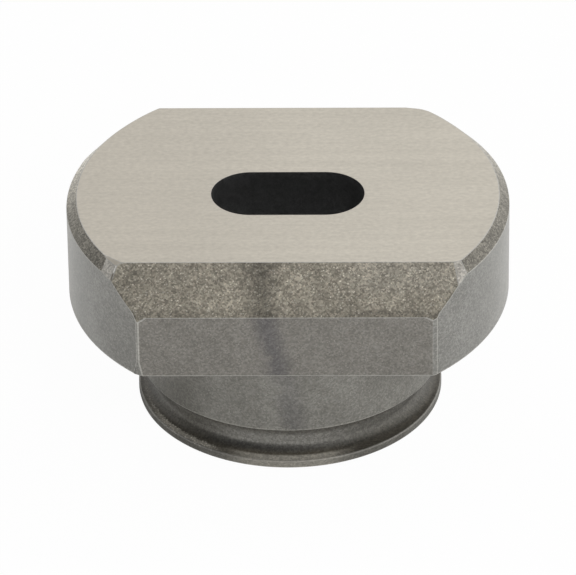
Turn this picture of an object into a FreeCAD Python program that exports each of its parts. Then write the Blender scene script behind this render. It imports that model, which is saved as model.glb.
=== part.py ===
import FreeCAD, Part
import Sketcher
import math
import os

# Obround punch die for a hydraulic hole puncher, made from one block of tool steel.
# The blank is turned: a disc-shaped head, a shank that plugs into the die holder,
# a coved retaining groove and a thin lip below it. The head is then milled with two
# parallel flats and a wide sloping nose, and the slot is cut through on the axis.
# Millimetres. +Z is up, the front with the nose looks along -Y, the slot runs along X.
# The origin is the centre of the bottom face, on the axis of the shank.

SIZES = [
    ("head_diameter", 39.0, "outside of the head's two arcs"),
    ("head_thickness", 9.5, "cutting face to shoulder"),
    ("flat_ledge", 1.05, "shoulder left between the shank and each of the two parallel flats"),
    ("rim_chamfer", 0.9, "45 degree chamfer where the arcs meet the cutting face"),
    ("nose_run", 3.5, "sloping nose, how far it reaches in from the front flat"),
    ("nose_drop", 3.4, "sloping nose, how far it reaches down from the cutting face"),
    ("corner_facet", 0.55, "ground facet between the nose and the rim chamfer"),
    ("flat_break", 0.3, "edge break between each flat and the arcs, and along the back of the cutting face"),
    ("shoulder_break", 0.15, "edge break round the lower outline of the head"),
    ("shank_diameter", 27.1, "shank and lip, turned to one size"),
    ("shank_length", 10.5, "shoulder to bottom face"),
    ("shoulder_fillet", 0.3, "root radius between shank and shoulder"),
    ("lip_height", 0.75, "lip below the groove"),
    ("groove_width", 3.15, "retaining groove, along the axis"),
    ("groove_depth", 1.45, "retaining groove, below the surface of the shank"),
    ("cove_radius", 1.2, "root radius at both sides of the groove"),
    ("shank_break", 0.12, "edge breaks on the shank and lip"),
    ("slot_length", 13.5, "die opening, end to end: 13 mm punch with its clearance"),
    ("slot_width", 7.0, "die opening, side to side: 6.5 mm punch with its clearance"),
    ("land_depth", 5.0, "straight cutting land under the cutting face"),
    ("relief_step", 0.4, "slug relief below the land, all round"),
    ("relief_taper", 1.0, "draft of the slug relief, degrees"),
    ("relief_break", 0.3, "edge break where the slug relief leaves the bottom face"),
]

# How far a cut reaches past the steel that it removes
OVERRUN = 5.0
# Distance within which an edge counts as lying where it is looked for
NEAR = 0.01
# The largest share of the groove's width and of its depth that one cove takes
COVE_OF_WIDTH = 0.45
COVE_OF_DEPTH = 0.9

# Heights and radii worked out from the sizes, as expressions of the sheet
HEIGHT = "(sizes.head_thickness + sizes.shank_length)"
HEAD_RADIUS = "(sizes.head_diameter / 2)"
SHANK_RADIUS = "(sizes.shank_diameter / 2)"
FLAT_DISTANCE = "(sizes.shank_diameter / 2 + sizes.flat_ledge)"
GROOVE_RADIUS = "(sizes.shank_diameter / 2 - sizes.groove_depth)"
GROOVE_TOP = "(sizes.lip_height + sizes.groove_width)"
RELIEF_TOP = "(sizes.head_thickness + sizes.shank_length - sizes.land_depth)"

doc = FreeCAD.newDocument("punch_die")
sheet = doc.addObject("Spreadsheet::Sheet", "sizes")
for row, (alias, value, meaning) in enumerate(SIZES, start=1):
    sheet.set(f"A{row}", alias)
    sheet.set(f"B{row}", str(value))
    sheet.set(f"C{row}", meaning)
    sheet.setAlias(f"B{row}", alias)
doc.recompute()


def number(expression):
    return float(body.evalExpression(expression))


# Sketches

def add_sketch(name, role, height=None):
    sketch = body.newObject("Sketcher::SketchObject", name)
    plane = next(item for item in body.Origin.OriginFeatures if item.Role == role)
    sketch.AttachmentSupport = [(plane, "")]
    sketch.MapMode = "FlatFace"
    if height:
        sketch.setExpression("AttachmentOffset.Base.z", height)
    return sketch


def drive(sketch, kind, *geometry, by):
    index = sketch.addConstraint(Sketcher.Constraint(kind, *geometry, number(by)))
    sketch.setExpression(f"Constraints[{index}]", by)


def place_start(sketch, line, across, up):
    for kind, axis, by in (("DistanceX", -2, across), ("DistanceY", -1, up)):
        if by == "0":
            sketch.addConstraint(Sketcher.Constraint("PointOnObject", line, 1, axis))
        else:
            drive(sketch, kind, -1, 1, line, 1, by=by)


def add_outline(sketch, corners):
    # A closed outline of straight lines, each corner a pair of expressions
    first = sketch.GeometryCount
    count = len(corners)
    points = [FreeCAD.Vector(number(across), number(up), 0) for across, up in corners]
    for index in range(count):
        sketch.addGeometry(Part.LineSegment(points[index], points[(index + 1) % count]), False)
    for index in range(count):
        following = first + (index + 1) % count
        sketch.addConstraint(Sketcher.Constraint("Coincident", first + index, 2, following, 1))
    for index, (across, up) in enumerate(corners):
        place_start(sketch, first + index, across, up)


def add_obround(sketch, length, width):
    # Two half-circle ends on the X axis, joined by two straight sides
    radius = number(width) / 2
    reach = number(length) / 2 - radius
    for side in (1, -1):
        circle = Part.Circle(FreeCAD.Vector(side * reach, 0, 0), FreeCAD.Vector(0, 0, 1), radius)
        start = -side * math.pi / 2
        sketch.addGeometry(Part.ArcOfCircle(circle, start, start + math.pi), False)
    for side in (1, -1):
        ends = [FreeCAD.Vector(end * reach, side * radius, 0) for end in (side, -side)]
        sketch.addGeometry(Part.LineSegment(*ends), False)
    right, left, upper, lower = 0, 1, 2, 3
    joints = [(right, 2, upper, 1), (upper, 2, left, 1), (left, 2, lower, 1), (lower, 2, right, 1)]
    for joint in joints:
        sketch.addConstraint(Sketcher.Constraint("Tangent", *joint))
    sketch.addConstraint(Sketcher.Constraint("Symmetric", right, 3, left, 3, -1, 1))
    sketch.addConstraint(Sketcher.Constraint("PointOnObject", right, 3, -1))
    drive(sketch, "DistanceX", left, 3, right, 3, by=f"{length} - {width}")
    drive(sketch, "Radius", right, by=f"{width} / 2")
    sketch.addConstraint(Sketcher.Constraint("Equal", right, left))


# Features

def turn(kind, name, sketch):
    feature = body.newObject(kind, name)
    feature.Profile = sketch
    axis = next(item for item in body.Origin.OriginFeatures if item.Role == "Z_Axis")
    feature.ReferenceAxis = (axis, [""])
    feature.Angle = 360
    doc.recompute()
    return feature


def cut(name, sketch, upward=False, through_both=False, depth=None, draft=None):
    before = body.Shape.Volume
    feature = body.newObject("PartDesign::Pocket", name)
    feature.Profile = sketch
    feature.Reversed = upward
    if through_both:
        feature.SideType = "Symmetric"
    if depth:
        feature.Type = "Length"
        feature.setExpression("Length", depth)
    else:
        feature.Type = "ThroughAll"
    if draft:
        feature.setExpression("TaperAngle", draft)
    doc.recompute()
    removed = before - body.Shape.Volume
    if removed <= 0:
        raise RuntimeError(f"{name} removes nothing")
    return feature


def middle(edge):
    return edge.valueAt((edge.FirstParameter + edge.LastParameter) / 2)


def dress(kind, name, amount, wanted):
    # A fillet or chamfer on every edge of the body whose middle point is wanted
    shape = body.Shape
    edges = [f"Edge{index}" for index, edge in enumerate(shape.Edges, start=1) if wanted(middle(edge))]
    if not edges:
        raise RuntimeError(f"{name} finds no edge")
    base = body.Tip
    feature = body.newObject(kind, name)
    feature.Base = (base, edges)
    feature.setExpression("Radius" if kind == "PartDesign::Fillet" else "Size", amount)
    doc.recompute()
    return feature


def near(value, expression):
    return abs(value - number(expression)) < NEAR


def from_axis(point):
    return (point.x**2 + point.y**2) ** 0.5


def ring(radius, height):
    return lambda point: near(point.z, height) and near(from_axis(point), radius)


body = doc.addObject("PartDesign::Body", "die_body")
body.Label = "die_body"
doc.recompute()

# Turned blank: shank below, head above
blank = add_sketch("blank_profile", "XZ_Plane")
add_outline(
    blank,
    [
        ("0", "0"),
        (SHANK_RADIUS, "0"),
        (SHANK_RADIUS, "sizes.shank_length"),
        (HEAD_RADIUS, "sizes.shank_length"),
        (HEAD_RADIUS, f"{HEIGHT} - sizes.rim_chamfer"),
        (f"{HEAD_RADIUS} - sizes.rim_chamfer", HEIGHT),
        ("0", HEIGHT),
    ],
)
turn("PartDesign::Revolution", "turned_blank", blank)

# Retaining groove, square first and then coved at both roots
groove = add_sketch("groove_profile", "XZ_Plane")
add_outline(
    groove,
    [
        (GROOVE_RADIUS, "sizes.lip_height"),
        (f"{SHANK_RADIUS} + {OVERRUN}", "sizes.lip_height"),
        (f"{SHANK_RADIUS} + {OVERRUN}", GROOVE_TOP),
        (GROOVE_RADIUS, GROOVE_TOP),
    ],
)
turn("PartDesign::Groove", "retaining_groove", groove)
dress(
    "PartDesign::Fillet",
    "groove_coves",
    f"min(sizes.cove_radius; {COVE_OF_WIDTH} * sizes.groove_width; {COVE_OF_DEPTH} * sizes.groove_depth)",
    lambda point: ring(GROOVE_RADIUS, "sizes.lip_height")(point) or ring(GROOVE_RADIUS, GROOVE_TOP)(point),
)
dress(
    "PartDesign::Fillet", "shoulder_root", "sizes.shoulder_fillet", ring(SHANK_RADIUS, "sizes.shank_length")
)
dress(
    "PartDesign::Chamfer",
    "shank_edge_breaks",
    "sizes.shank_break",
    lambda point: any(
        ring(SHANK_RADIUS, height)(point) for height in ("0", "sizes.lip_height", GROOVE_TOP)
    ),
)

# Parallel flats, front and back, on the head only
flats = add_sketch("flats_outline", "XY_Plane", "sizes.shank_length")
reach = f"{HEAD_RADIUS} + {OVERRUN}"
for side in ("", "-"):
    add_outline(
        flats,
        [
            (f"-({reach})", f"{side}{FLAT_DISTANCE}"),
            (reach, f"{side}{FLAT_DISTANCE}"),
            (reach, f"{side}({reach})"),
            (f"-({reach})", f"{side}({reach})"),
        ],
    )
cut("flats", flats, upward=True)

# Sloping nose across the front of the cutting face
nose = add_sketch("nose_outline", "YZ_Plane")
slope = "sizes.nose_drop / sizes.nose_run"
add_outline(
    nose,
    [
        (f"-{FLAT_DISTANCE} - {OVERRUN}", f"{HEIGHT} - sizes.nose_drop - {OVERRUN} * {slope}"),
        (f"-{FLAT_DISTANCE} + sizes.nose_run + {OVERRUN} / ({slope})", f"{HEIGHT} + {OVERRUN}"),
        (f"-{FLAT_DISTANCE} - {OVERRUN}", f"{HEIGHT} + {OVERRUN}"),
    ],
)
cut("nose", nose, through_both=True)


def on_rim_cone(point):
    inside = number(f"{HEIGHT} - sizes.rim_chamfer") + NEAR < point.z < number(HEIGHT) - NEAR
    return inside and near(from_axis(point) + point.z, f"{HEAD_RADIUS} + {HEIGHT} - sizes.rim_chamfer")


def on_back_flat(point):
    return near(point.y, FLAT_DISTANCE) and point.z > number("sizes.shank_length") + NEAR


def on_front_corner(point):
    return near(point.y, f"-{FLAT_DISTANCE}") and near(from_axis(point), HEAD_RADIUS)


def on_shoulder_outline(point):
    outside = from_axis(point) > number(f"{SHANK_RADIUS} + sizes.shoulder_fillet") + NEAR
    return near(point.z, "sizes.shank_length") and outside


dress(
    "PartDesign::Chamfer",
    "corner_facets",
    "sizes.corner_facet",
    lambda point: point.y < 0 and on_rim_cone(point),
)
dress(
    "PartDesign::Chamfer",
    "flat_edge_breaks",
    "sizes.flat_break",
    lambda point: on_back_flat(point) or on_front_corner(point),
)
dress("PartDesign::Chamfer", "shoulder_edge_break", "sizes.shoulder_break", on_shoulder_outline)

# Die opening: a straight cutting land, then a drafted relief that lets the slug fall
land = add_sketch("land_outline", "XY_Plane", HEIGHT)
add_obround(land, "sizes.slot_length", "sizes.slot_width")
cut("cutting_land", land)
relief = add_sketch("relief_outline", "XY_Plane", RELIEF_TOP)
add_obround(
    relief, "(sizes.slot_length + 2 * sizes.relief_step)", "(sizes.slot_width + 2 * sizes.relief_step)"
)
cut("slug_relief", relief, depth=RELIEF_TOP, draft="sizes.relief_taper")
dress(
    "PartDesign::Chamfer",
    "relief_edge_break",
    "sizes.relief_break",
    lambda point: near(point.z, "0") and from_axis(point) < number(GROOVE_RADIUS),
)

for item in doc.Objects:
    if "Invalid" in item.State or "Error" in item.State:
        raise RuntimeError(f"{item.Name} failed: {item.State}")
if body.Shape.isNull() or not body.Shape.isValid() or len(body.Shape.Solids) != 1:
    raise RuntimeError(f"{body.Label} isn't one sound solid")

os.makedirs("parts", exist_ok=True)
body.Shape.exportStep(f"parts/{body.Label}.step")
box = body.Shape.BoundBox
print(f"{body.Label}: {box.XLength:.2f} x {box.YLength:.2f} x {box.ZLength:.2f} mm")
print(f"volume {body.Shape.Volume:.1f} mm3, {len(body.Shape.Faces)} faces")
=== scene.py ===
import math

import bmesh
import bpy
from mathutils import Matrix, Vector


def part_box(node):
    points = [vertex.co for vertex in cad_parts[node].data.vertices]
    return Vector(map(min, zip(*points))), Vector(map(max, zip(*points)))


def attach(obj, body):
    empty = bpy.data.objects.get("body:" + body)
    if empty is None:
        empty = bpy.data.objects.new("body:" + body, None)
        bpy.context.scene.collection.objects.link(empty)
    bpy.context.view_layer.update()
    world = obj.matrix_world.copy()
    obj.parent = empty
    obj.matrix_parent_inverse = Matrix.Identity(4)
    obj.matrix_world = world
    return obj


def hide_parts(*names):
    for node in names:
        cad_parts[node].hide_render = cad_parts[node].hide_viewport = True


# An obround punch die of tool steel, as turned, milled, blasted and ground.
# Metres. +Z is up, the sloping nose looks along -Y and the die opening runs along X.

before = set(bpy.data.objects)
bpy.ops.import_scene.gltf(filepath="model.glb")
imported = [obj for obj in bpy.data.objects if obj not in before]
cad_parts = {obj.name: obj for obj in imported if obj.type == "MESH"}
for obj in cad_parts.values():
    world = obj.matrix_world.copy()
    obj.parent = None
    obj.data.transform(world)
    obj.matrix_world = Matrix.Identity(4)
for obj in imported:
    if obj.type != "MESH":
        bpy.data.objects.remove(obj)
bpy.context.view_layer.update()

MM = 0.001

# Sizes of the die, taken from the frame where the frame gives them
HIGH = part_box("die_body")[1]
HEAD_RADIUS = HIGH.x
FLAT_DISTANCE = HIGH.y
HEIGHT = HIGH.z
SHOULDER = 10.45 * MM
RIM_CHAMFER = 0.9 * MM
NOSE_RUN = 3.5 * MM
NOSE_DROP = 3.46 * MM
BACK_BREAK = 0.3 * MM
SHANK_RADIUS = 13.55 * MM
SHOULDER_ROOT = 0.3 * MM
LIP_HEIGHT = 0.75 * MM
GROOVE_TOP = 3.98 * MM
GROOVE_RADIUS = 12.1 * MM
COVE_RADIUS = 1.2 * MM
SLOT_LENGTH = 13.5 * MM
SLOT_WIDTH = 7.0 * MM
LAND_DEPTH = 5.0 * MM
RELIEF_STEP = 0.4 * MM
RELIEF_DRAFT = math.radians(1.0)
RELIEF_BREAK = 0.3 * MM
OVERRUN = 1.0 * MM
OPENING_MARGIN = 1.5 * MM

# How close two heights or radii count as the same, and how close two corners become one
NEAR = 0.005 * MM
SAME_CORNER = 0.01 * MM
SAME_POINT = 0.001 * MM
ON_PLANE = 0.0001 * MM

# Breaks between flats and arcs: side, front or back, turn towards the flat, depth
FRONT_BREAK = 0.076 * MM
FLAT_BREAKS = (
    (-1, -1, 0.0, 0.035 * MM),
    (1, -1, 3.0, FRONT_BREAK),
    (-1, 1, 0.0, 0.7 * MM),
    (1, 1, 0.0, 0.95 * MM),
    (1, 1, 10.4, 0.74 * MM),
    (1, 1, -10.8, 1.04 * MM),
)
# Where the rim chamfer grows towards the back, in degrees from the X axis: side, how far
# down the wall and how far in on the cutting face
WIDE_RIM_FROM = 21.0
WIDE_RIM_FULL = 38.0
WIDE_RIMS = ((-1, 0.4 * MM, 0.1 * MM), (1, 0.15 * MM, 0.1 * MM))
WIDE_RIM_DROP = 0.4 * MM
# Hand-ground facets: side, length along the rim, down the nose and along its top edge
CORNER_FACETS = (
    (-1, 0.93 * MM, 0.2 * MM, 0.29 * MM),
    (1, 0.38 * MM, 0.56 * MM, 0.42 * MM),
)
# The bright edge between the left facet and the nose: its width, and how large it can be
FRESH_EDGE = 0.2 * MM
FRESH_AREA = 0.3 * MM**2
TOP_CORNER_BACK = 1.2 * MM
TOP_CORNER_ACROSS = 0.76 * MM
TOP_CORNER_TILT = math.radians(22.5)
# Dulled left foot corner of the front flat: length along the foot, up the corner and back
FOOT_INWARD = 0.4 * MM
FOOT_UPWARD = 1.9 * MM
FOOT_BACK = 0.4 * MM
# Blasted corners below the nose: side, length along the flat, down the corner and up the nose
NOSE_CORNERS = (
    (-1, 0.75 * MM, 0.55 * MM, 0.35 * MM),
    (1, 0.85 * MM, 0.45 * MM, 0.3 * MM),
)
# No blasted corner reaches further up from the foot of the nose
NOSE_CORNER_TOP = 0.4 * MM

# Finishes of the die, in the order of its material slots
FINISHES = (
    "ground",
    "blasted",
    "rim",
    "facet",
    "chipped",
    "bright_strip",
    "milled",
    "wall",
    "shank",
    "groove",
    "turned",
    "slot",
    "worn",
)

# How finely the turned forms are divided
TURN_STEPS = 240
COVE_STEPS = 10
SLOT_STEPS = 40

# Widest edge rounding, and the share of it that each kind of edge gets
EDGE_ROUND = 0.25 * MM
EDGE_SEGMENTS = 3
ROUNDINGS = {
    "outer shoulder": 0.9,
    "flat shoulder": 0.5,
    "top of the groove": 0.3,
    "lip": 0.5,
    "opening": 0.08,
    "slanting wall": 0.08,
    "right edge of the flat": 0.06,
    "right edge beside it": 0.28,
    "front flat": 0.3,
    "other": 0.16,
}
SHARP_ANGLE = math.radians(15.0)
# How squarely a face of the rim chamfer looks away from the axis
RIM_FACING = 0.69
# The least share of its length that an upright edge rises, and that a steep one does
UPRIGHT = 0.97
STEEP = 0.5

# Light of the room: its level, what it gains towards +X, +Y and +Z, and its darker side
ROOM_LEVEL = 0.73
ROOM_LEAN = (0.33, 0.29, 0.0)
DARK_SIDE = (0.0, -0.53, 0.85)
DARK_DEPTH = 0.2
# How much of the floor is plain white to the camera and in reflections
FLOOR_SEEN = 0.97
FLOOR_REFLECTED = 0.1

# Colours that lie over the steel, real tones and also painted shade and painted highlight
SPARK = (0.85, 0.81, 0.72)
SPECK = (0.66, 0.62, 0.55)
DUST = (0.5, 0.48, 0.43)
MARK = (0.115, 0.11, 0.128)
# Real dirt in the patches and the run mark, painted shade in the side, edge and height layers
DIRT_AND_SHADE = (0.08, 0.075, 0.062)
# Painted shade for the groove's cove
COVE_SHADE = (0.03, 0.029, 0.025)
BROWN = (0.2, 0.175, 0.13)
REDDISH = (0.36, 0.285, 0.245)
GREENISH = (0.21, 0.225, 0.18)
PALE = (0.52, 0.50, 0.46)
# A painted highlight on the lip's front and left, along the groove's top edge and towards the rim's back
PALE_HIGHLIGHT = (0.56, 0.53, 0.465)
# Painted shade for the lip's sides
LIP_SIDE_SHADE = (0.1, 0.09, 0.07)
# Painted shade for the upper walls of the die opening
SLOT_TOP_SHADE = (0.12, 0.12, 0.12)

# The mark that oil has left down the front: how it leans, where it starts, how far it
# wanders, and where along Y it comes in
RUN_MARK_LEAN = -0.2
RUN_MARK_FOOT = 0.0011
RUN_MARK_WANDER = 0.0008
RUN_MARK_FRONT = (-0.008, -0.011)
OIL_ROUGHNESS = 0.3

# The specks are the grain's own cells moved aside, and the shade of an edge is this ragged
SPECK_SHIFT = (0.031, 0.017, 0.023)
EDGE_RAGGEDNESS = 0.0004
# How much of a place along X is fully covered, before its layer fades
FULL_INSIDE = 0.4

# Places along X that a layer keeps to
LEFT_HALF = {"Middle": -0.02, "Half Width": 0.03}
RIGHT_HALF = {"Middle": 0.02, "Half Width": 0.03}
LEFT_CORNER = {"Middle": -0.014, "Half Width": 0.003}
RIGHT_CORNER = {"Middle": 0.0105, "Half Width": 0.007}

# Places on the lip: painted shade over it, a painted highlight in front and on its left, and specks on its
# left
LEFT_SIDE = {"Middle": -0.0093, "Half Width": 0.004}
LIP_BAND = {"High": 0.0008, "Fade": 0.0001}
FRONT_BAND = {**LIP_BAND, "Half Width": 0.0065}
LEFT_BAND = {"High": 0.00077, "Fade": 0.00004, **LEFT_SIDE}
LIP_SPECKS = {"Rarity": 0.4, "Size": 0.65, "Top": 0.00079, **LEFT_SIDE}
# A painted highlight along the edge above the groove
GROOVE_EDGE = {"Low": 0.00403, "High": 0.0041, "Fade": 0.00006, "Half Width": 0.012}
# The nose has a painted highlight towards its top right and is darker along its foot
NOSE_TOP = {"Low": 0.0188, "High": 0.02, "Fade": 0.0012, **RIGHT_CORNER}
NOSE_FOOT = {"High": 0.0168, "Fade": 0.0003}

# How each finish looks: colour, size and spread of its grain, roughness, relief,
# and the layers over it, each a pattern with its numbers, a colour and a share
LOOKS = {
    "ground": {
        "colour": (0.597, 0.556, 0.48),
        "spread": 0.02,
        "lines": 0.16,
        "roughness": (0.28, 0.34),
        "relief": 0.003 * MM,
        "oil": 0.0,
        "layers": (
            ("clouding", {"Patches": 90.0}, (0.47, 0.44, 0.38), 0.25),
            # Painted shade: the left of the cutting face darker
            ("side shade", {"Middle": -0.02, "Half Width": 0.03}, (0.47, 0.43, 0.37), 0.38),
            ("wheel lines", {"Lines": 1100.0, "Along": 0.04}, (0.45, 0.418, 0.36), 0.3),
        ),
    },
    "blasted": {
        "colour": (0.615, 0.566, 0.468),
        "spread": 0.39,
        "roughness": (0.5, 0.62),
        "relief": 0.015 * MM,
        "metallic": 0.75,
        "layers": (
            ("grain tint", {"Grains": 5200.0}, REDDISH, 0.3),
            ("grain tint", {"Grains": 6100.0}, GREENISH, 0.3),
            ("clouding", {"Patches": 1300.0}, BROWN, 0.22),
            ("clouding", {"Patches": 330.0}, DIRT_AND_SHADE, 0.2),
            ("bright specks", {"Rarity": 0.8}, SPARK, 0.95),
            # Painted shade on the left of the nose
            ("side shade", {"Middle": -0.015, "Half Width": 0.012}, DIRT_AND_SHADE, 0.14),
            ("run mark", {"Half Width": 0.0022}, DIRT_AND_SHADE, 0.5),
            # Painted shade along the nose's outer edges, and a painted highlight towards its top right
            ("edge shade", {"Start": 0.0195, "End": 0.0198}, DIRT_AND_SHADE, 0.6),
            ("height band", NOSE_TOP, SPARK, 0.14),
            # Painted shade along the right of the nose's foot
            ("height band", {**NOSE_FOOT, "Fade": 0.0004, **RIGHT_CORNER}, DIRT_AND_SHADE, 0.3),
            ("height band", NOSE_FOOT, DIRT_AND_SHADE, 0.15),
        ),
    },
    "rim": {
        "colour": (0.325, 0.307, 0.266),
        "spread": 0.42,
        "roughness": (0.45, 0.55),
        "relief": 0.01 * MM,
        "layers": (
            ("clouding", {"Patches": 350.0}, DIRT_AND_SHADE, 0.25),
            # Painted shade on the rim's right
            ("side shade", {"Middle": 0.018, "Half Width": 0.009}, DIRT_AND_SHADE, 0.15),
            # Painted highlight growing towards the back of the rim
            ("back shade", {"Start": -0.005, "End": 0.0025, **LEFT_HALF}, PALE_HIGHLIGHT, 0.95),
            ("back shade", {"Start": 0.001, "End": 0.0075, **LEFT_HALF}, SPARK, 0.85),
            ("back shade", {"Start": -0.002, "End": 0.009, **RIGHT_HALF}, PALE_HIGHLIGHT, 0.95),
            ("bright specks", {"Rarity": 0.85}, SPECK, 0.4),
        ),
    },
    "facet": {
        "colour": (0.56, 0.535, 0.49),
        "spread": 0.3,
        "metallic": 0.6,
        "layers": (
            ("grain tint", {}, BROWN, 0.2),
            ("bright specks", {"Rarity": 0.85}, SPECK, 0.5),
        ),
    },
    "chipped": {
        "colour": (0.7, 0.67, 0.62),
        "spread": 0.3,
        "metallic": 0.75,
        "layers": (
            ("grain tint", {}, BROWN, 0.25),
            ("clouding", {"Patches": 900.0}, BROWN, 0.3),
            ("bright specks", {"Rarity": 0.8}, SPECK, 0.5),
        ),
    },
    "bright_strip": {
        # A painted highlight colour for the narrow strip
        "colour": (0.85, 0.83, 0.78),
        "spread": 0.15,
        "metallic": 0.5,
        "roughness": (0.4, 0.5),
        "layers": (
            ("clouding", {"Patches": 1500.0}, BROWN, 0.2),
            ("height band", {"High": 0.01925, "Fade": 0.0002}, BROWN, 0.85),
        ),
    },
    "milled": {
        "colour": (0.307, 0.294, 0.271),
        "spread": 0.24,
        "layers": (
            ("grain tint", {}, BROWN, 0.15),
            ("clouding", {"Patches": 400.0}, DIRT_AND_SHADE, 0.12),
            ("bright specks", {"Rarity": 0.9}, SPECK, 0.25),
            ("run mark", {"Half Width": 0.0018}, MARK, 0.52),
        ),
    },
    "wall": {
        "colour": (0.345, 0.34, 0.32),
        "spread": 0.24,
        "oil": 0.65,
        "layers": (
            ("grain tint", {}, BROWN, 0.1),
            ("clouding", {"Patches": 350.0}, DIRT_AND_SHADE, 0.12),
            # Painted shade in the middle of the left wall
            ("side shade", {"Middle": -0.0165, "Half Width": 0.004}, DIRT_AND_SHADE, 0.12),
            # Painted highlight towards both sides of the head
            ("side shade", {"Middle": -0.0197, "Half Width": 0.0018}, SPARK, 0.18),
            ("side shade", {"Middle": 0.0195, "Half Width": 0.003}, SPARK, 0.09),
            # Painted shade on the left wall beside the front corner
            ("height band", {"High": 0.016, "Fade": 0.0012, **LEFT_CORNER}, DIRT_AND_SHADE, 0.2),
            ("bright specks", {"Rarity": 0.9}, SPECK, 0.25),
        ),
    },
    "shank": {
        "colour": (0.33, 0.322, 0.297),
        "spread": 0.23,
        "layers": (
            ("grain tint", {}, BROWN, 0.15),
            ("clouding", {"Patches": 350.0}, DIRT_AND_SHADE, 0.2),
            ("bright specks", {"Rarity": 0.9}, SPECK, 0.25),
            # Painted shade on the neck's left
            ("side shade", {"Middle": -0.0095, "Half Width": 0.0035}, DIRT_AND_SHADE, 0.4),
            ("run mark", {"Half Width": 0.0018}, MARK, 0.3),
            # Painted shade on the lip, a painted highlight on its front and along the edge above the
            # groove
            ("height band", LIP_BAND, DIRT_AND_SHADE, 0.32),
            ("height band", FRONT_BAND, PALE_HIGHLIGHT, 0.6),
            ("height band", GROOVE_EDGE, PALE_HIGHLIGHT, 0.28),
        ),
    },
    "groove": {
        "colour": (0.33, 0.322, 0.3),
        "spread": 0.25,
        "roughness": (0.3, 0.36),
        "relief": 0.005 * MM,
        "matt": ("height band", {"High": 0.00076, "Fade": 0.0004}, 0.55),
        "layers": (
            # Painted shade: the lower cove, the lip's sides, the top of the groove and both its sides
            ("height band", {"High": 0.0009, "Fade": 0.001}, COVE_SHADE, 0.8),
            ("height band", {"High": 0.00076, "Fade": 0.0003}, LIP_SIDE_SHADE, 0.75),
            ("height band", {"Low": 0.0028, "High": 0.005, "Fade": 0.0005}, DIRT_AND_SHADE, 0.64),
            ("side shade", {"Middle": -0.0083, "Half Width": 0.0047}, DIRT_AND_SHADE, 0.66),
            ("side shade", {"Middle": 0.0082, "Half Width": 0.0072}, DIRT_AND_SHADE, 0.53),
            ("height band", {**FRONT_BAND, "Fade": 0.0005}, BROWN, 0.45),
            # Painted highlight on the lip's front and on its left
            ("height band", FRONT_BAND, PALE_HIGHLIGHT, 0.95),
            ("height band", LEFT_BAND, PALE_HIGHLIGHT, 0.7),
            ("grain tint", {}, BROWN, 0.15),
            ("bright specks", LIP_SPECKS, SPARK, 0.75),
        ),
    },
    "turned": {"colour": (0.22, 0.21, 0.195), "spread": 0.3},
    "slot": {
        "colour": (0.39, 0.39, 0.39),
        "spread": 0.12,
        "roughness": (0.45, 0.6),
        "relief": 0.004 * MM,
        "layers": (
            # Painted shade: the upper walls of the opening darkened
            ("height band", {"Low": 0.0195, "High": 0.03, "Fade": 0.0045}, SLOT_TOP_SHADE, 0.66),
            ("bright specks", {"Grains": 3200.0, "Rarity": 0.9}, DUST, 0.12),
        ),
    },
    "worn": {
        "colour": (0.48, 0.468, 0.435),
        "spread": 0.15,
        "roughness": (0.38, 0.44),
        "relief": 0.004 * MM,
        "metallic": 0.7,
        "layers": (
            ("clouding", {"Patches": 400.0}, PALE, 0.3),
            # Painted shade on the lip's rounded edges, and a painted highlight in front
            ("height band", LIP_BAND, DIRT_AND_SHADE, 0.55),
            ("height band", FRONT_BAND, PALE_HIGHLIGHT, 0.7),
            ("bright specks", LIP_SPECKS, SPECK, 0.75),
        ),
    },
}
# What a finish has where its own look doesn't say
PLAIN_LOOK = {
    "grains": 7000.0,
    "contrast": 1.3,
    "oil": 0.15,
    "metallic": 1.0,
    "matt": None,
    "lines": 0.0,
    "roughness": (0.42, 0.52),
    "relief": 0.01 * MM,
    "layers": (),
}


# Camera, at the photograph's viewing angle

def place_camera():
    elevation = math.radians(33.37)
    azimuth = math.radians(1.142)
    roll = math.radians(-0.766)
    distance = 553.95 * MM
    aim = Vector((-0.09, 0.0, 10.08)) * MM
    back = Vector(
        (
            math.sin(azimuth) * math.cos(elevation),
            -math.cos(azimuth) * math.cos(elevation),
            math.sin(elevation),
        )
    )
    right = Vector((math.cos(azimuth), math.sin(azimuth), 0.0))
    up = back.cross(right)
    level = Matrix((right, up, back)).transposed()
    turned = level @ Matrix.Rotation(roll, 3, "Z")
    data = bpy.data.cameras.new("camera")
    data.sensor_fit = "HORIZONTAL"
    data.sensor_width = 36.0
    data.lens = 389.82
    data.clip_start = 0.01
    data.clip_end = 20.0
    camera = bpy.data.objects.new("camera", data)
    camera.matrix_world = Matrix.Translation(aim + back * distance) @ turned.to_4x4()
    bpy.context.scene.collection.objects.link(camera)
    bpy.context.scene.camera = camera


# Shape

def arc(centre, radius, start, end, steps):
    # Points of an arc in the plane of radius and height, angles in degrees
    angles = [math.radians(start + (end - start) * step / steps) for step in range(steps + 1)]
    return [(centre[0] + radius * math.cos(a), centre[1] + radius * math.sin(a)) for a in angles]


def turned_profile():
    # Radius and height of the turned blank, from the bottom face up to the cutting face
    root = GROOVE_RADIUS + COVE_RADIUS
    fillet = SHANK_RADIUS + SHOULDER_ROOT
    return (
        [(SHANK_RADIUS, 0.0), (SHANK_RADIUS, LIP_HEIGHT)]
        + arc((root, LIP_HEIGHT + COVE_RADIUS), COVE_RADIUS, 270, 180, COVE_STEPS)
        + arc((root, GROOVE_TOP - COVE_RADIUS), COVE_RADIUS, 180, 90, COVE_STEPS)
        + [(SHANK_RADIUS, GROOVE_TOP)]
        + arc((fillet, SHOULDER - SHOULDER_ROOT), SHOULDER_ROOT, 180, 90, 4)
        + [
            (HEAD_RADIUS, SHOULDER),
            (HEAD_RADIUS, HEIGHT - RIM_CHAMFER),
            (HEAD_RADIUS - RIM_CHAMFER, HEIGHT),
        ]
    )


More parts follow.
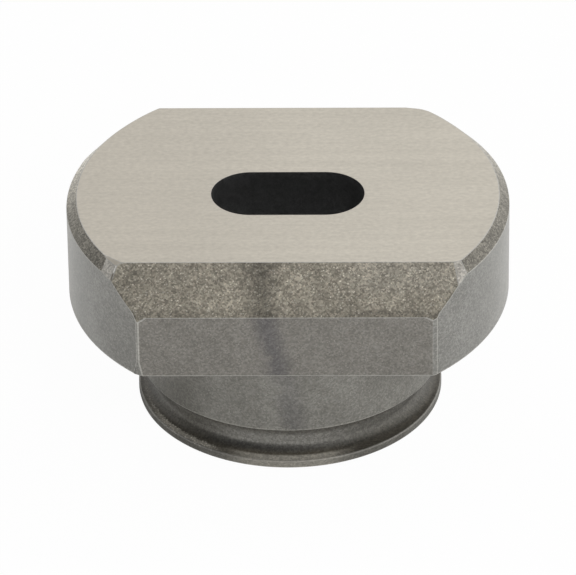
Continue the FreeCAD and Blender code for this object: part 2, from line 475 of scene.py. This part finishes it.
def turn_blank(mesh):
    points = [mesh.verts.new((radius, 0.0, height)) for radius, height in turned_profile()]
    edges = [mesh.edges.new(pair) for pair in zip(points, points[1:])]
    bmesh.ops.spin(
        mesh,
        geom=points + edges,
        cent=(0, 0, 0),
        axis=(0, 0, 1),
        angle=math.tau,
        steps=TURN_STEPS,
        use_merge=True,
    )
    bmesh.ops.remove_doubles(mesh, verts=mesh.verts, dist=SAME_POINT)
    bmesh.ops.holes_fill(mesh, edges=[edge for edge in mesh.edges if edge.is_boundary])
    bmesh.ops.recalc_face_normals(mesh, faces=mesh.faces)


def mill(mesh, point, normal):
    # Takes away what lies outside a plane and closes the cut
    everything = mesh.verts[:] + mesh.edges[:] + mesh.faces[:]
    bmesh.ops.bisect_plane(
        mesh, geom=everything, dist=ON_PLANE, plane_co=point, plane_no=normal, clear_outer=True
    )
    rim = [edge for edge in mesh.edges if edge.is_boundary]
    bmesh.ops.holes_fill(mesh, edges=rim)


def mill_through(mesh, first, second, third):
    # Takes a corner off along the plane through three points
    normal = (second - first).cross(third - first).normalized()
    if normal.dot(first - Vector((0, 0, HEIGHT / 2))) < 0:
        normal.negate()
    mill(mesh, first, normal)


def on_arc(across, along, radius):
    # The sideways place of a point on one of the head's arcs
    return across * math.sqrt(radius**2 - along**2)


def mill_head(mesh):
    corner = on_arc(1, FLAT_DISTANCE, HEAD_RADIUS)
    corner_angle = math.atan2(FLAT_DISTANCE, corner)
    for side in (1, -1):
        mill(mesh, (0, side * FLAT_DISTANCE, 0), (0, side, 0))
    mill(mesh, (0, -FLAT_DISTANCE, HEIGHT - NOSE_DROP), (0, -NOSE_DROP, NOSE_RUN))
    # Breaks where each flat meets the arcs: the plane halves the angle between the two
    facing = (corner_angle + math.pi / 2) / 2
    for across, along, turn, depth in FLAT_BREAKS:
        angle = facing + math.radians(turn)
        normal = Vector((across * math.cos(angle), along * math.sin(angle), 0))
        mill(mesh, Vector((across * corner, along * FLAT_DISTANCE, 0)) - normal * depth, normal)
    # Break along the back of the cutting face
    mill(mesh, (0, FLAT_DISTANCE - BACK_BREAK, HEIGHT), (0, 1, 1))


def corner_points(across, along_rim, down_nose, along_top):
    # Where a corner facet starts on the rim, on the side of the nose and on its top edge
    nose_back = FLAT_DISTANCE - NOSE_RUN
    nose_front = nose_back + RIM_CHAMFER * NOSE_RUN / NOSE_DROP
    rim_y = -nose_front + along_rim
    nose_y = -nose_front - down_nose
    top_x = on_arc(across, nose_back, HEAD_RADIUS - RIM_CHAMFER) - across * along_top
    fall = (-nose_y - nose_back) * NOSE_DROP / NOSE_RUN
    return (
        Vector((on_arc(across, rim_y, HEAD_RADIUS), rim_y, HEIGHT - RIM_CHAMFER)),
        Vector((on_arc(across, nose_y, HEAD_RADIUS), nose_y, HEIGHT - fall)),
        Vector((top_x, -nose_back, HEIGHT)),
    )


def grind_corners(mesh):
    # Facets ground by hand where the nose meets the rim chamfer, a different one on each side
    for across, along_rim, down_nose, along_top in CORNER_FACETS:
        rim, nose, top = corner_points(across, along_rim, down_nose, along_top)
        mill_through(mesh, rim, nose, top)
        if across < 0:
            # The edge between this facet and the nose is a narrow strip that catches the light, and its
            # pale colour is a painted highlight
            facet = (nose - rim).cross(top - rim).normalized()
            facet *= math.copysign(1, facet.z)
            slope = Vector((0, -NOSE_DROP, NOSE_RUN)).normalized()
            normal = (facet + slope).normalized()
            depth = FRESH_EDGE / 2 * math.sin(facet.angle(slope) / 2)
            mill(mesh, nose - normal * depth, normal)


def grind_top_corner(mesh):
    # A shallow break of the cutting face's left front corner
    nose_back = FLAT_DISTANCE - NOSE_RUN
    top = HEAD_RADIUS - RIM_CHAMFER
    rim_y = -nose_back + TOP_CORNER_BACK
    start = Vector((on_arc(-1, rim_y, top), rim_y, HEIGHT))
    stop = Vector((on_arc(-1, nose_back, top) + TOP_CORNER_ACROSS, -nose_back, HEIGHT))
    along = (stop - start).normalized()
    outward = Vector((along.y, -along.x, 0))
    normal = outward * math.sin(TOP_CORNER_TILT) + Vector((0, 0, math.cos(TOP_CORNER_TILT)))
    mill(mesh, start, normal)


def widen_rim(mesh):
    # The rim chamfer is a little wider towards the back
    for across, down, inward in WIDE_RIMS:
        for vertex in mesh.verts:
            angle = math.degrees(math.atan2(vertex.co.y, across * vertex.co.x))
            share = (angle - WIDE_RIM_FROM) / (WIDE_RIM_FULL - WIDE_RIM_FROM)
            share = min(max(share, 0.0), 1.0)
            radius = from_axis(vertex.co)
            if angle > 90 or radius < HEAD_RADIUS - RIM_CHAMFER - NEAR:
                continue
            if near(vertex.co.z, HEIGHT - RIM_CHAMFER):
                vertex.co.z -= share * down
            elif near(vertex.co.z, HEIGHT):
                vertex.co.xy *= 1 - share * inward / radius


def soften_foot_corner(mesh):
    # The lower left corner of the front flat, dulled by hand
    corner = on_arc(-1, FLAT_DISTANCE, HEAD_RADIUS)
    wall_y = -FLAT_DISTANCE + FOOT_BACK
    mill_through(
        mesh,
        Vector((corner + FOOT_INWARD, -FLAT_DISTANCE, SHOULDER)),
        Vector((corner, -FLAT_DISTANCE, SHOULDER + FOOT_UPWARD)),
        Vector((on_arc(-1, wall_y, HEAD_RADIUS), wall_y, SHOULDER)),
    )


def blast_corners(mesh):
    # The grit of the nose runs a little over the upper corners of the front flat
    corner = on_arc(1, FLAT_DISTANCE, HEAD_RADIUS)
    foot = HEIGHT - NOSE_DROP
    for across, inward, downward, upward in NOSE_CORNERS:
        side_y = -FLAT_DISTANCE + upward * NOSE_RUN / NOSE_DROP
        mill_through(
            mesh,
            Vector((across * (corner - inward), -FLAT_DISTANCE, foot)),
            Vector((across * corner, -FLAT_DISTANCE, foot - downward)),
            Vector((on_arc(across, side_y, HEAD_RADIUS), side_y, foot + upward)),
        )


def new_object(name, mesh):
    data = bpy.data.meshes.new(name)
    mesh.to_mesh(data)
    mesh.free()
    result = bpy.data.objects.new(name, data)
    bpy.context.scene.collection.objects.link(result)
    return result


def obround(mesh, height, growth):
    # A loop of edges round the die opening, larger all round by growth
    radius = SLOT_WIDTH / 2 + growth
    reach = (SLOT_LENGTH - SLOT_WIDTH) / 2
    outline = arc((reach, 0), radius, -90, 90, SLOT_STEPS) + arc((-reach, 0), radius, 90, 270, SLOT_STEPS)
    points = [mesh.verts.new((across, along, height)) for across, along in outline]
    return [mesh.edges.new(pair) for pair in zip(points, points[1:] + points[:1])]


def slot_cutter():
    # The space of the die opening: straight land, then the drafted slug relief
    mesh = bmesh.new()
    land_end = HEIGHT - LAND_DEPTH
    spread = RELIEF_STEP + (land_end - RELIEF_BREAK) * math.tan(RELIEF_DRAFT)
    top = obround(mesh, HEIGHT + OVERRUN, 0)
    land = obround(mesh, land_end, 0)
    relief = obround(mesh, land_end, RELIEF_STEP)
    mouth = obround(mesh, RELIEF_BREAK, spread)
    foot = obround(mesh, -OVERRUN, spread + RELIEF_BREAK + OVERRUN)
    for upper, lower in ((top, land), (relief, mouth), (mouth, foot)):
        bmesh.ops.bridge_loops(mesh, edges=upper + lower)
    # The step lies in one plane, where bridging would turn it over
    bmesh.ops.triangle_fill(mesh, use_beauty=True, edges=land + relief, normal=(0, 0, 1))
    bmesh.ops.holes_fill(mesh, edges=[edge for edge in mesh.edges if edge.is_boundary])
    bmesh.ops.recalc_face_normals(mesh, faces=mesh.faces)
    return new_object("slot_cutter", mesh)


def cut_slot(blank):
    cutter = slot_cutter()
    cut = blank.modifiers.new("slot", "BOOLEAN")
    cut.operation = "DIFFERENCE"
    cut.solver = "EXACT"
    cut.object = cutter
    depsgraph = bpy.context.evaluated_depsgraph_get()
    data = bpy.data.meshes.new_from_object(blank.evaluated_get(depsgraph))
    mesh = bmesh.new()
    mesh.from_mesh(data)
    bpy.data.objects.remove(blank)
    bpy.data.objects.remove(cutter)
    bpy.data.meshes.remove(data)
    return mesh


def near(value, wanted):
    return abs(value - wanted) < NEAR


def from_axis(point):
    return math.hypot(point.x, point.y)


def inside_opening(point):
    return from_axis(point) < SLOT_LENGTH / 2 + OPENING_MARGIN


def finish_of(face):
    # Which finish a face of the die has, by where it lies and which way it looks
    middle = face.calc_center_median()
    radius = from_axis(middle)
    if near(middle.z, HEIGHT) or middle.z > HEIGHT - RIM_CHAMFER and face.normal.z > 0.85:
        return "ground"
    if near(middle.z, SHOULDER) and face.normal.z < -0.9:
        return "turned"
    if middle.z > SHOULDER and not inside_opening(middle):
        if abs(face.normal.y) > 0.99:
            return "milled"
        if face.normal.y < -0.6 and abs(face.normal.x) < 0.01:
            return "blasted"
        if middle.z > HEIGHT - RIM_CHAMFER - WIDE_RIM_DROP and 0.3 < face.normal.z < 0.8:
            if face.normal.dot(Vector((middle.x, middle.y, 0)).normalized()) > RIM_FACING:
                return "rim"
        if abs(face.normal.z) < 0.1:
            return "wall"
        if middle.z < HEIGHT - NOSE_DROP + NOSE_CORNER_TOP:
            return "blasted" if face.normal.z > 0 else "wall"
        if middle.x > 0:
            return "chipped"
        # The narrow edge of the left facet has a painted highlight
        return "bright_strip" if face.calc_area() < FRESH_AREA else "facet"
    if inside_opening(middle) and middle.z > NEAR:
        return "slot"
    if middle.z < NEAR:
        return "turned"
    if LIP_HEIGHT < middle.z + NEAR < GROOVE_TOP + 2 * NEAR and radius < SHANK_RADIUS - NEAR:
        return "groove"
    return "shank"


def kind_of(edge):
    # Which kind of edge this is, or None where it stays as it is
    middle = (edge.verts[0].co + edge.verts[1].co) / 2
    radius = from_axis(middle)
    if edge.calc_face_angle(0) < SHARP_ANGLE:
        return None
    if near(middle.z, SHOULDER):
        if radius < SHANK_RADIUS + SHOULDER_ROOT + NEAR:
            return None
        return "outer shoulder" if radius > HEAD_RADIUS - NEAR else "flat shoulder"
    if near(radius, SHANK_RADIUS):
        return "top of the groove" if near(middle.z, GROOVE_TOP) else "lip"
    if inside_opening(middle):
        return "opening" if near(middle.z, HEIGHT) else None
    finishes = {finish_of(face) for face in edge.link_faces}
    if middle.z < SHOULDER or finishes == {"blasted"}:
        return None
    upright = abs(edge.verts[0].co.z - edge.verts[1].co.z) / edge.calc_length()
    if finishes == {"wall"} and upright < UPRIGHT:
        return "slanting wall"
    if middle.y < -FLAT_DISTANCE + FRONT_BREAK + NEAR and middle.z < HEIGHT - NOSE_DROP:
        # The front flat's outline is worn more, but on its right side the outer edge is
        if upright > STEEP and middle.x > 0:
            on_flat = near(middle.y, -FLAT_DISTANCE)
            return "right edge of the flat" if on_flat else "right edge beside it"
        return "front flat" if near(middle.y, -FLAT_DISTANCE) else "other"
    return "other"


def finish_edges(die):
    bevel = die.modifiers.new("edge_rounding", "BEVEL")
    bevel.width = EDGE_ROUND
    bevel.segments = EDGE_SEGMENTS
    bevel.limit_method = "WEIGHT"
    bevel.use_clamp_overlap = False
    bevel.material = FINISHES.index("worn")
    shading = die.modifiers.new("shading", "WEIGHTED_NORMAL")
    shading.keep_sharp = True
    shading.weight = 100


def build_die():
    mesh = bmesh.new()
    turn_blank(mesh)
    widen_rim(mesh)
    mill_head(mesh)
    grind_corners(mesh)
    grind_top_corner(mesh)
    soften_foot_corner(mesh)
    blast_corners(mesh)
    # Corners that nearly coincide become one, so that the rounding stays in place
    bmesh.ops.remove_doubles(mesh, verts=mesh.verts, dist=SAME_CORNER)
    bmesh.ops.recalc_face_normals(mesh, faces=mesh.faces)
    mesh = cut_slot(new_object("blank", mesh))
    weights = mesh.edges.layers.float.new("bevel_weight_edge")
    for edge in mesh.edges:
        edge[weights] = ROUNDINGS.get(kind_of(edge), 0)
        edge.smooth = edge[weights] > 0 or edge.calc_face_angle(0) < SHARP_ANGLE
    for face in mesh.faces:
        face.material_index = FINISHES.index(finish_of(face))
        face.smooth = True
    die = new_object("die", mesh)
    for finish in FINISHES:
        die.data.materials.append(bpy.data.materials.new(finish))
    finish_edges(die)
    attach(die, "root")
    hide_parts("die_body")
    return die


# Materials

def add_node(tree, kind, inputs=None, **settings):
    # A new node with its settings, each input given a value or the output that feeds it
    node = tree.nodes.new("ShaderNode" + kind)
    for name, value in settings.items():
        setattr(node, name, value)
    for name, value in (inputs or {}).items():
        if isinstance(value, bpy.types.NodeSocket):
            tree.links.new(value, node.inputs[name])
        else:
            node.inputs[name].default_value = value
    return node


def new_pattern(name, inputs):
    # An empty pattern group: a place on the surface and some numbers in, a mask from 0 to 1 out
    group = bpy.data.node_groups.new(name, "ShaderNodeTree")
    group.interface.new_socket("Position", in_out="INPUT", socket_type="NodeSocketVector")
    for title, value in inputs.items():
        socket = group.interface.new_socket(title, in_out="INPUT", socket_type="NodeSocketFloat")
        socket.default_value = value
    group.interface.new_socket("Mask", in_out="OUTPUT", socket_type="NodeSocketFloat")
    return group, group.nodes.new("NodeGroupInput").outputs


def math_node(tree, operation, *values):
    return add_node(tree, "Math", dict(enumerate(values)), operation=operation).outputs[0]


def ramp(tree, value, low, high, smooth=False):
    # 0 where the value is at low, 1 where it is at high
    kind = "SMOOTHSTEP" if smooth else "LINEAR"
    return add_node(
        tree,
        "MapRange",
        {"Value": value, "From Min": low, "From Max": high},
        interpolation_type=kind,
    ).outputs[0]


def noise(tree, place, scale, detail=2.0):
    return add_node(
        tree, "TexNoise", {"Vector": place, "Scale": scale, "Detail": detail, "Roughness": 0.55}
    ).outputs["Fac"]


def aside_of(tree, entry, inner):
    # 1 round a place along X, which fades from an inner share of the half width on to 0 there
    across = add_node(tree, "SeparateXYZ", {"Vector": entry["Position"]}).outputs["X"]
    aside = math_node(tree, "ABSOLUTE", math_node(tree, "SUBTRACT", across, entry["Middle"]))
    full = math_node(tree, "MULTIPLY", entry["Half Width"], inner)
    return ramp(tree, aside, entry["Half Width"], full, smooth=True)


def finish_pattern(group, mask):
    leave = group.nodes.new("NodeGroupOutput")
    group.links.new(mask, leave.inputs["Mask"])
    return group


def grit_cells(tree, entry):
    return add_node(
        tree, "TexVoronoi", {"Vector": entry["Position"], "Scale": entry["Grains"]}
    ).outputs["Color"]


def split_colour(tree, colour):
    return add_node(tree, "SeparateColor", {"Color": colour}).outputs


def blasted_grain():
    # Facets that grit has struck, each as bright as it happens to be turned
    group, entry = new_pattern("blasted grain", {"Grains": 7000.0, "Contrast": 1.4})
    facets = split_colour(group, grit_cells(group, entry))
    return finish_pattern(group, math_node(group, "POWER", facets["Red"], entry["Contrast"]))


def grain_tint():
    # Which of those facets are a warmer colour
    group, entry = new_pattern("grain tint", {"Grains": 7000.0})
    facets = split_colour(group, grit_cells(group, entry))
    return finish_pattern(group, facets["Green"])


def bright_specks():
    # Scattered grains that catch the light, or specks of dust, up to a height
    # and only round a place along X
    numbers = {"Grains": 6000.0, "Rarity": 0.8, "Size": 0.5, "Top": 1.0, "Middle": 0.0, "Half Width": 1.0}
    group, entry = new_pattern("bright specks", numbers)
    moved = add_node(
        group, "VectorMath", {0: entry["Position"], 1: SPECK_SHIFT}, operation="ADD"
    )
    cells = add_node(
        group, "TexVoronoi", {"Vector": moved.outputs[0], "Scale": entry["Grains"]}
    ).outputs
    chosen = math_node(group, "GREATER_THAN", split_colour(group, cells["Color"])["Blue"], entry["Rarity"])
    dot = ramp(group, cells["Distance"], entry["Size"], 0.1, smooth=True)
    height = add_node(group, "SeparateXYZ", {"Vector": entry["Position"]}).outputs["Z"]
    below = ramp(group, height, math_node(group, "ADD", entry["Top"], 0.00005), entry["Top"])
    shown = math_node(group, "MULTIPLY", chosen, dot)
    within = math_node(group, "MULTIPLY", below, aside_of(group, entry, FULL_INSIDE))
    return finish_pattern(group, math_node(group, "MULTIPLY", shown, within))


def clouding():
    # Broad uneven patches, as oil, handling and heat treatment leave them
    group, entry = new_pattern("clouding", {"Patches": 300.0})
    broad = noise(group, entry["Position"], entry["Patches"], 3.0)
    return finish_pattern(group, ramp(group, broad, 0.35, 0.65, smooth=True))


def wheel_lines():
    # Short scratches that a grinding wheel leaves along X
    group, entry = new_pattern("wheel lines", {"Lines": 3200.0, "Along": 0.62})
    scale = add_node(group, "CombineXYZ", {"X": entry["Along"], "Y": 1.0, "Z": 1.0}).outputs[0]
    stretched = add_node(
        group, "VectorMath", {0: entry["Position"], 1: scale}, operation="MULTIPLY"
    )
    lines = noise(group, stretched.outputs[0], entry["Lines"], 3.0)
    return finish_pattern(group, ramp(group, lines, 0.3, 0.7))


def run_mark():
    # A faint slanting mark where oil has run down the front
    group, entry = new_pattern("run mark", {"Half Width": 0.0018})
    apart = add_node(group, "SeparateXYZ", {"Vector": entry["Position"]}).outputs
    lean = math_node(group, "MULTIPLY_ADD", apart["Z"], RUN_MARK_LEAN, RUN_MARK_FOOT)
    wander = noise(group, entry["Position"], 500.0)
    centre = math_node(group, "MULTIPLY_ADD", wander, RUN_MARK_WANDER, lean)
    aside = math_node(group, "ABSOLUTE", math_node(group, "SUBTRACT", apart["X"], centre))
    fade = ramp(group, aside, entry["Half Width"], 0.0, smooth=True)
    front = ramp(group, apart["Y"], *RUN_MARK_FRONT)
    patchy = ramp(group, noise(group, entry["Position"], 350.0), 0.25, 0.45, smooth=True)
    broken = math_node(group, "MULTIPLY", math_node(group, "MULTIPLY", fade, front), patchy)
    return finish_pattern(group, broken)


def edge_shade():
    # Painted shade towards the head's outer edge, broken up by grit
    group, entry = new_pattern("edge shade", {"Start": 0.0188, "End": 0.0195})
    flat = add_node(
        group, "VectorMath", {0: entry["Position"], 1: (1.0, 1.0, 0.0)}, operation="MULTIPLY"
    )
    radius = add_node(group, "VectorMath", {0: flat.outputs[0]}, operation="LENGTH")
    grit = noise(group, entry["Position"], 1500.0)
    ragged = math_node(group, "MULTIPLY_ADD", grit, EDGE_RAGGEDNESS, radius.outputs["Value"])
    return finish_pattern(group, ramp(group, ragged, entry["Start"], entry["End"], smooth=True))


def height_band():
    # A soft band between two heights, and only round a place along X
    numbers = {"Low": -0.001, "High": 0.001, "Fade": 0.0005, "Middle": 0.0, "Half Width": 1.0}
    group, entry = new_pattern("height band", numbers)
    height = add_node(group, "SeparateXYZ", {"Vector": entry["Position"]}).outputs["Z"]
    below = math_node(group, "SUBTRACT", entry["Low"], entry["Fade"])
    above = math_node(group, "ADD", entry["High"], entry["Fade"])
    rising = ramp(group, height, below, entry["Low"], smooth=True)
    falling = ramp(group, height, above, entry["High"], smooth=True)
    band = math_node(group, "MULTIPLY", rising, falling)
    within = aside_of(group, entry, FULL_INSIDE)
    return finish_pattern(group, math_node(group, "MULTIPLY", band, within))


def back_shade():
    # A painted highlight that grows towards the back, and only round a place along X
    numbers = {"Start": 0.0, "End": 0.01, "Middle": 0.0, "Half Width": 1.0}
    group, entry = new_pattern("back shade", numbers)
    along = add_node(group, "SeparateXYZ", {"Vector": entry["Position"]}).outputs["Y"]
    grown = ramp(group, along, entry["Start"], entry["End"], smooth=True)
    within = aside_of(group, entry, FULL_INSIDE)
    return finish_pattern(group, math_node(group, "MULTIPLY", grown, within))


def side_shade():
    # A soft upright band round a place along X, laid as painted shade and as painted highlight
    group, entry = new_pattern("side shade", {"Middle": 0.0, "Half Width": 0.004})
    return finish_pattern(group, aside_of(group, entry, 0.0))


def build_patterns():
    patterns = (
        blasted_grain(),
        grain_tint(),
        bright_specks(),
        clouding(),
        wheel_lines(),
        run_mark(),
        edge_shade(),
        height_band(),
        side_shade(),
        back_shade(),
    )
    return {pattern.name: pattern for pattern in patterns}


def place_pattern(tree, pattern, place, values):
    placed = add_node(tree, "Group", node_tree=pattern)
    tree.links.new(place, placed.inputs["Position"])
    for title, value in values.items():
        placed.inputs[title].default_value = value
    return placed.outputs["Mask"]


def mix_colours(tree, share, first, second, kind="MIX"):
    colours = {0: share, 6: first, 7: second}
    return add_node(tree, "Mix", colours, data_type="RGBA", blend_type=kind).outputs[2]


def uneven(tree, surface, mask, spread):
    # A colour made darker where a mask is 0 and lighter where it is 1
    amount = add_node(tree, "MapRange", {"Value": mask, "To Min": 1 - spread, "To Max": 1 + spread})
    return mix_colours(tree, 1.0, surface, amount.outputs[0], "MULTIPLY")


def dress_steel(material, patterns, look):
    # The colour and each layer over it, then grain and lines in it, roughness and relief
    material.use_nodes = True
    tree = material.node_tree
    shader = tree.nodes["Principled BSDF"]
    place = add_node(tree, "TexCoord").outputs["Object"]
    shader.inputs["Coat Weight"].default_value = look["oil"]
    shader.inputs["Coat Roughness"].default_value = OIL_ROUGHNESS
    struck = {"Grains": look["grains"], "Contrast": look["contrast"]}
    grain = place_pattern(tree, patterns["blasted grain"], place, struck)
    colour, spread = look["colour"], look["spread"]
    surface = colour + (1.0,)
    for name, values, over, share in look["layers"]:
        mask = place_pattern(tree, patterns[name], place, values)
        surface = mix_colours(tree, math_node(tree, "MULTIPLY", mask, share), surface, over + (1.0,))
    surface = uneven(tree, surface, grain, spread)
    height = grain
    if look["lines"]:
        height = place_pattern(tree, patterns["wheel lines"], place, {})
        surface = uneven(tree, surface, height, look["lines"] / 2)
    tree.links.new(surface, shader.inputs["Base Color"])
    # Bare steel is all metal, and what has dulled over is part matt
    shader.inputs["Metallic"].default_value = look["metallic"]
    if look["matt"]:
        name, values, share = look["matt"]
        dull = place_pattern(tree, patterns[name], place, values)
        bare = math_node(tree, "MULTIPLY_ADD", dull, -share, 1.0)
        tree.links.new(bare, shader.inputs["Metallic"])
    low, high = look["roughness"]
    rough = add_node(tree, "MapRange", {"Value": grain, "To Min": low, "To Max": high})
    tree.links.new(rough.outputs[0], shader.inputs["Roughness"])
    bump = add_node(tree, "Bump", {"Strength": 0.5, "Distance": look["relief"], "Height": height})
    tree.links.new(bump.outputs["Normal"], shader.inputs["Normal"])


def dress_die(die):
    patterns = build_patterns()
    for material in die.data.materials:
        dress_steel(material, patterns, {**PLAIN_LOOK, **LOOKS[material.name]})


place_camera()
die = build_die()
dress_die(die)


# Studio

def build_floor():
    mesh = bmesh.new()
    bmesh.ops.create_grid(mesh, x_segments=1, y_segments=1, size=3.0)
    floor = new_object("floor", mesh)
    material = bpy.data.materials.new("floor")
    material.use_nodes = True
    tree = material.node_tree
    tree.nodes.remove(tree.nodes["Principled BSDF"])
    # White to the camera and in reflections, and matt to the light that falls on it
    matt = add_node(tree, "BsdfDiffuse", {"Color": (0.82, 0.82, 0.81, 1.0)})
    glow = add_node(tree, "Emission", {"Color": (1.0, 1.0, 1.0, 1.0), "Strength": 1.0})
    path = add_node(tree, "LightPath").outputs
    reflected = math_node(
        tree, "MAXIMUM", path["Is Glossy Ray"], path["Is Transmission Ray"]
    )
    seen = math_node(tree, "MULTIPLY", path["Is Camera Ray"], FLOOR_SEEN)
    share = math_node(tree, "MULTIPLY_ADD", reflected, FLOOR_REFLECTED, seen)
    blend = add_node(tree, "MixShader", {0: share, 1: matt.outputs[0], 2: glow.outputs[0]})
    tree.links.new(blend.outputs[0], tree.nodes["Material Output"].inputs["Surface"])
    floor.data.materials.append(material)


def build_world():
    # White where the camera sees it, and a soft room for the light that falls:
    # brighter on the right and behind, darker overhead on the camera's side
    world = bpy.data.worlds.new("world")
    world.use_nodes = True
    tree = world.node_tree
    plain = tree.nodes["Background"]
    plain.inputs["Color"].default_value = (1.0, 1.0, 1.0, 1.0)
    direction = add_node(tree, "TexCoord").outputs["Generated"]
    lean = add_node(tree, "VectorMath", {0: direction, 1: ROOM_LEAN}, operation="DOT_PRODUCT")
    towards = add_node(tree, "VectorMath", {0: direction, 1: DARK_SIDE}, operation="DOT_PRODUCT")
    dark = ramp(tree, towards.outputs["Value"], 0.35, 0.9, smooth=True)
    level = math_node(tree, "ADD", lean.outputs["Value"], ROOM_LEVEL)
    strength = math_node(tree, "MULTIPLY_ADD", dark, -DARK_DEPTH, level)
    room = add_node(tree, "Background", {"Color": (1.0, 1.0, 1.0, 1.0), "Strength": strength})
    path = add_node(tree, "LightPath").outputs
    blend = add_node(
        tree, "MixShader", {0: path["Is Camera Ray"], 1: room.outputs[0], 2: plain.outputs[0]}
    )
    tree.links.new(blend.outputs[0], tree.nodes["World Output"].inputs["Surface"])
    bpy.context.scene.world = world


def add_softbox(name, place, size, power):
    data = bpy.data.lights.new(name, "AREA")
    data.shape = "SQUARE"
    data.size = size
    data.energy = power
    lamp = bpy.data.objects.new(name, data)
    lamp.location = place
    lamp.visible_glossy = False
    lamp.rotation_euler = (Vector((0, 0, 0.01)) - lamp.location).to_track_quat("-Z", "Y").to_euler()
    bpy.context.scene.collection.objects.link(lamp)


build_floor()
build_world()
add_softbox("softbox_front", Vector((0.32, -0.56, 0.5)), 0.4, 3.2)
add_softbox("softbox_back", Vector((0.3, 0.48, 0.3)), 0.4, 0.5)
bpy.context.scene.view_settings.view_transform = "Standard"
